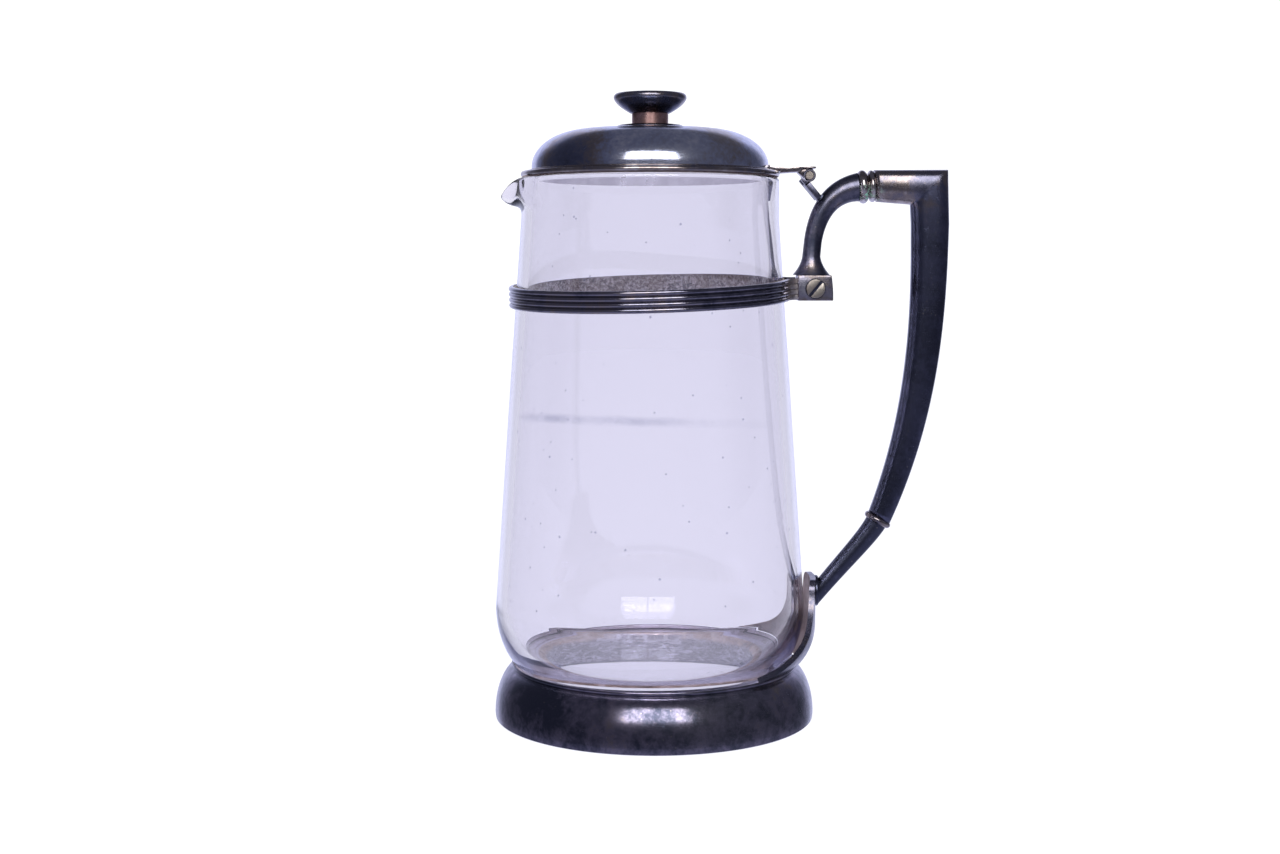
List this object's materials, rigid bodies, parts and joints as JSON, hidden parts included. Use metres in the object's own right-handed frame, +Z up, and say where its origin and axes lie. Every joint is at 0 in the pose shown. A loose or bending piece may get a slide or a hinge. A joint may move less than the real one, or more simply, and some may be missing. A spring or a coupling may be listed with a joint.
{
  "type": "lidded glass jug",
  "caption": "Conical glass jug on a hollow silver-plated foot, with a reeded neck collar, a curved handle and a hinged domed lid with a knob.",
  "frame": {"origin": "centre of the foot's well at table level, on the glass's axis", "axes": "+X towards the handle, -X towards the pouring lip, +Z up, -Y towards the viewer"},
  "size_m": [0.1814, 0.1288, 0.2491],
  "materials": {
    "silver": "worn silver plate, polished high spots",
    "dark_silver": "blue-black tarnished silver plate",
    "copper": "bare copper where the plate has worn off",
    "screw_brass": "dull brass with worn plate",
    "gilt_ring": "gold-brown tarnish over plate",
    "glass": "clear, faint lilac tint",
    "packing": "dull grey-brown packing"
  },
  "bodies": {
    "jug": {"foot_shell": "dark_silver", "foot_base_ring": "dark_silver", "foot_seat_ring": "gilt_ring", "glass_body": "glass", "collar_liner": "packing", "collar_band": "dark_silver", "collar_lug_front": "dark_silver", "collar_lug_rear": "dark_silver", "clamp_screw": "screw_brass", "handle_arm": "dark_silver", "upper_bead_rings": "silver", "handle_top_bar": "silver", "handle_grip": "dark_silver", "lower_bead_ring": "silver", "handle_tail": "dark_silver", "tail_boss": "dark_silver", "heel_cradle": "dark_silver", "hinge_leaf": "dark_silver", "hinge_pin": "screw_brass"},
    "lid": {"lid_dome": "silver", "lid_rim_ring": "silver", "lid_hinge_arm": "dark_silver", "knob_rosette": "dark_silver", "knob_stem": "copper", "knob_cap": "dark_silver", "knob_stud": "screw_brass", "knob_nut": "screw_brass"}
  },
  "joints": [
    {"name": "lid_hinge", "type": "hinge", "parent": "jug", "child": "lid", "pos_m": [0.0627, 0, 0.2168], "axis": [0, 1, 0], "range_deg": [0, 100]}
  ]
}
